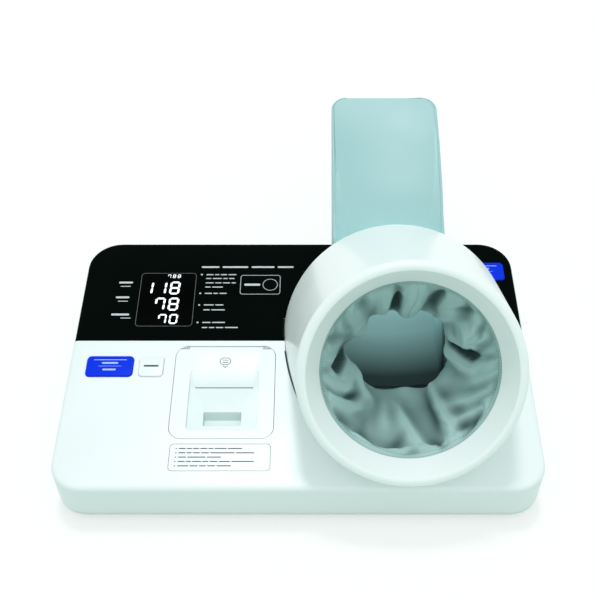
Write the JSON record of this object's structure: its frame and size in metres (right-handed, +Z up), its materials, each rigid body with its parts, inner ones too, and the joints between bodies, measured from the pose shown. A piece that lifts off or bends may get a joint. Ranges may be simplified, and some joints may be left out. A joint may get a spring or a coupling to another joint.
{
  "type": "arm-in blood pressure monitor",
  "caption": "Wedge-shaped table-top blood pressure monitor with a tilting cuff drum, a forearm rest, a dark display panel, keys and a paper printer.",
  "frame": {"origin": "on the table under the middle of the whole outline", "axes": "+Z up, front of the console towards -Y, cuff drum towards +X"},
  "size_m": [0.48, 0.4408, 0.2482],
  "materials": {
    "case_white": "glossy white moulded plastic with a faint mint tint",
    "base_grey": "fine matt light grey-green plastic",
    "panel_black": "polished black plastic",
    "window_dark": "clear window over a dark display",
    "key_blue": "glossy royal blue plastic",
    "key_white": "glossy white plastic",
    "rest_teal": "satin pale blue-green plastic",
    "cloth_teal": "woven nylon, grey-teal, slightly shiny",
    "rubber_dark": "matt black rubber",
    "plastic_light": "moulded light grey plastic",
    "plastic_dark": "moulded black plastic",
    "board_green": "solder-masked circuit board",
    "board_tan": "phenolic circuit board with parts",
    "steel": "plain steel",
    "zinc_steel": "zinc-plated sheet steel",
    "brass": "machined brass",
    "paper": "white thermal paper",
    "pump_metal": "plated pump body",
    "hose_ivory": "soft ivory hose",
    "bladder_grey": "smooth grey rubber sheet",
    "spring_sheet": "springy polyester sheet",
    "belt_dark": "woven dark belt",
    "speaker_grey": "pressed frame with a paper cone"
  },
  "bodies": {
    "console": {"bottom_case": "base_grey", "top_case": "case_white", "rubber_feet": "rubber_dark", "case_screws": "steel", "display_panel": "panel_black", "display_window": "window_dark", "display_module": "plastic_dark", "main_board": "board_green", "pressure_sensor": "plastic_dark", "power_supply": "board_tan", "mains_inlet": "plastic_dark", "switch_frame": "plastic_dark", "data_port": "steel", "speaker": "speaker_grey", "air_pump": "pump_metal", "pump_mounts": "rubber_dark", "air_valve": "plastic_light", "air_hose": "hose_ivory", "printer_frame": "plastic_light", "print_head": "plastic_dark", "printer_motor": "steel", "paper_spindle": "plastic_light", "cover_pin": "steel", "key_board": "board_green", "key_switches": "plastic_dark", "notice_plate": "key_white", "left_pivot_bracket": "zinc_steel", "right_pivot_bracket": "zinc_steel", "pivot_bushes": "plastic_light", "arm_rest": "rest_teal", "arm_rest_back": "rest_teal"},
    "cuff_drum": {"drum_shell": "case_white", "drum_bezel": "case_white", "trunnion_pins": "steel", "cuff_frame": "plastic_light", "wrap_belt": "belt_dark", "curler": "spring_sheet", "air_bladder": "bladder_grey", "cuff_cloth": "cloth_teal", "rear_ring": "plastic_light", "wrap_motor": "steel", "gear_axle": "steel"},
    "start_key": {"start_key": "key_blue"},
    "clear_key": {"clear_key": "key_white"},
    "rear_key": {"rear_key": "key_blue"},
    "mains_rocker": {"mains_rocker": "plastic_dark"},
    "printer_cover": {"printer_cover": "case_white"},
    "platen_roller": {"platen_roller": "rubber_dark"},
    "paper_roll": {"paper_roll": "paper"},
    "motor_pinion": {"motor_pinion": "brass"},
    "wrap_gear": {"wrap_gear": "brass"}
  },
  "joints": [
    {"name": "start_key_press", "type": "slide", "parent": "console", "child": "start_key", "axis": [0, 0.1478, -0.989], "range_m": [0, 0.001], "stiffness_N_per_m": 900, "springref_m": -0.0008},
    {"name": "clear_key_press", "type": "slide", "parent": "console", "child": "clear_key", "axis": [0, 0.1478, -0.989], "range_m": [0, 0.001], "stiffness_N_per_m": 900, "springref_m": -0.0008},
    {"name": "rear_key_press", "type": "slide", "parent": "console", "child": "rear_key", "axis": [0, 0.1478, -0.989], "range_m": [0, 0.001], "stiffness_N_per_m": 900, "springref_m": -0.0008},
    {"name": "mains_rocker_tip", "type": "hinge", "parent": "console", "child": "mains_rocker", "pos_m": [-0.008, 0.09939, 0.045], "axis": [0, 0, 1], "range_deg": [0, 20]},
    {"name": "printer_cover_hinge", "type": "hinge", "parent": "console", "child": "printer_cover", "pos_m": [-0.077, -0.04487, 0.0741], "axis": [-1, 0, 0], "range_deg": [0, 80]},
    {"name": "platen_spin", "type": "hinge", "parent": "printer_cover", "child": "platen_roller", "pos_m": [-0.077, -0.09628, 0.05074], "axis": [1, 0, 0], "continuous": true},
    {"name": "paper_roll_spin", "type": "hinge", "parent": "console", "child": "paper_roll", "pos_m": [-0.077, -0.11751, 0.03038], "axis": [1, 0, 0], "continuous": true},
    {"name": "drum_tilt", "type": "hinge", "parent": "console", "child": "cuff_drum", "pos_m": [0.1045, -0.03209, 0.06421], "axis": [-1, 0, 0], "range_deg": [0, 7]},
    {"name": "wrap_gear_spin", "type": "hinge", "parent": "cuff_drum", "child": "wrap_gear", "pos_m": [0.04822, -0.02613, 0.16701], "axis": [0, 0.8387, -0.5446], "continuous": true},
    {"name": "motor_pinion_spin", "type": "hinge", "parent": "cuff_drum", "child": "motor_pinion", "pos_m": [0.0352, -0.03209, 0.15785], "axis": [0, 0.8387, -0.5446], "continuous": true}
  ],
  "couplings": [
    {"joint": "motor_pinion_spin", "follows": "wrap_gear_spin", "ratio": -2.4}
  ]
}
